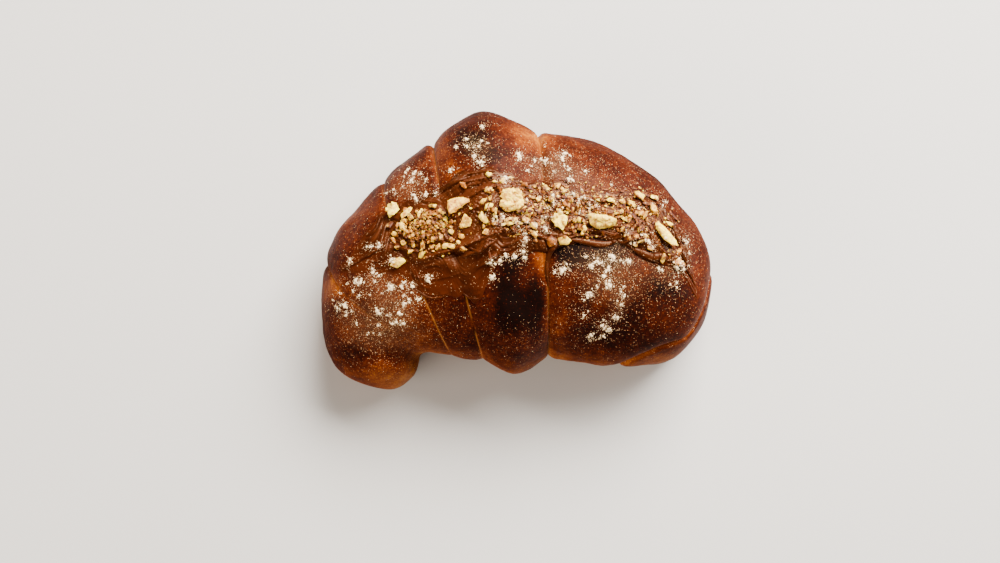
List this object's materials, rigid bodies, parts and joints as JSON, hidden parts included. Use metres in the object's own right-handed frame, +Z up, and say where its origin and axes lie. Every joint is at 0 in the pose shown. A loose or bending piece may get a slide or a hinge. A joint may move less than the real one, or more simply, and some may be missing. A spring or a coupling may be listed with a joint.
{
  "type": "chocolate hazelnut brioche",
  "caption": "Crescent-shaped rolled brioche with a knife-spread band of hazelnut chocolate along its top, sprinkled with chopped hazelnuts and icing sugar.",
  "frame": {"origin": "middle of the bounding box in plan, on the flat underside", "axes": "+X along the pastry from the left horn to the right one, +Y to its rounded back, +Z up"},
  "size_m": [0.1553, 0.1105, 0.0638],
  "materials": {
    "crust": "baked egg-washed crust, satin",
    "spread": "soft glossy hazelnut chocolate spread",
    "hazelnut": "broken hazelnut kernel, matt"
  },
  "bodies": {
    "root": {"brioche": "crust", "hazelnut_spread": "spread", "hazelnut_half": "hazelnut", "hazelnut_slice_middle": "hazelnut", "hazelnut_slice_right": "hazelnut", "hazelnut_chunk_middle": "hazelnut", "hazelnut_flake_left": "hazelnut", "hazelnut_chunk_left": "hazelnut", "hazelnut_flake_inner": "hazelnut", "hazelnut_flake_front": "hazelnut"}
  },
  "joints": []
}
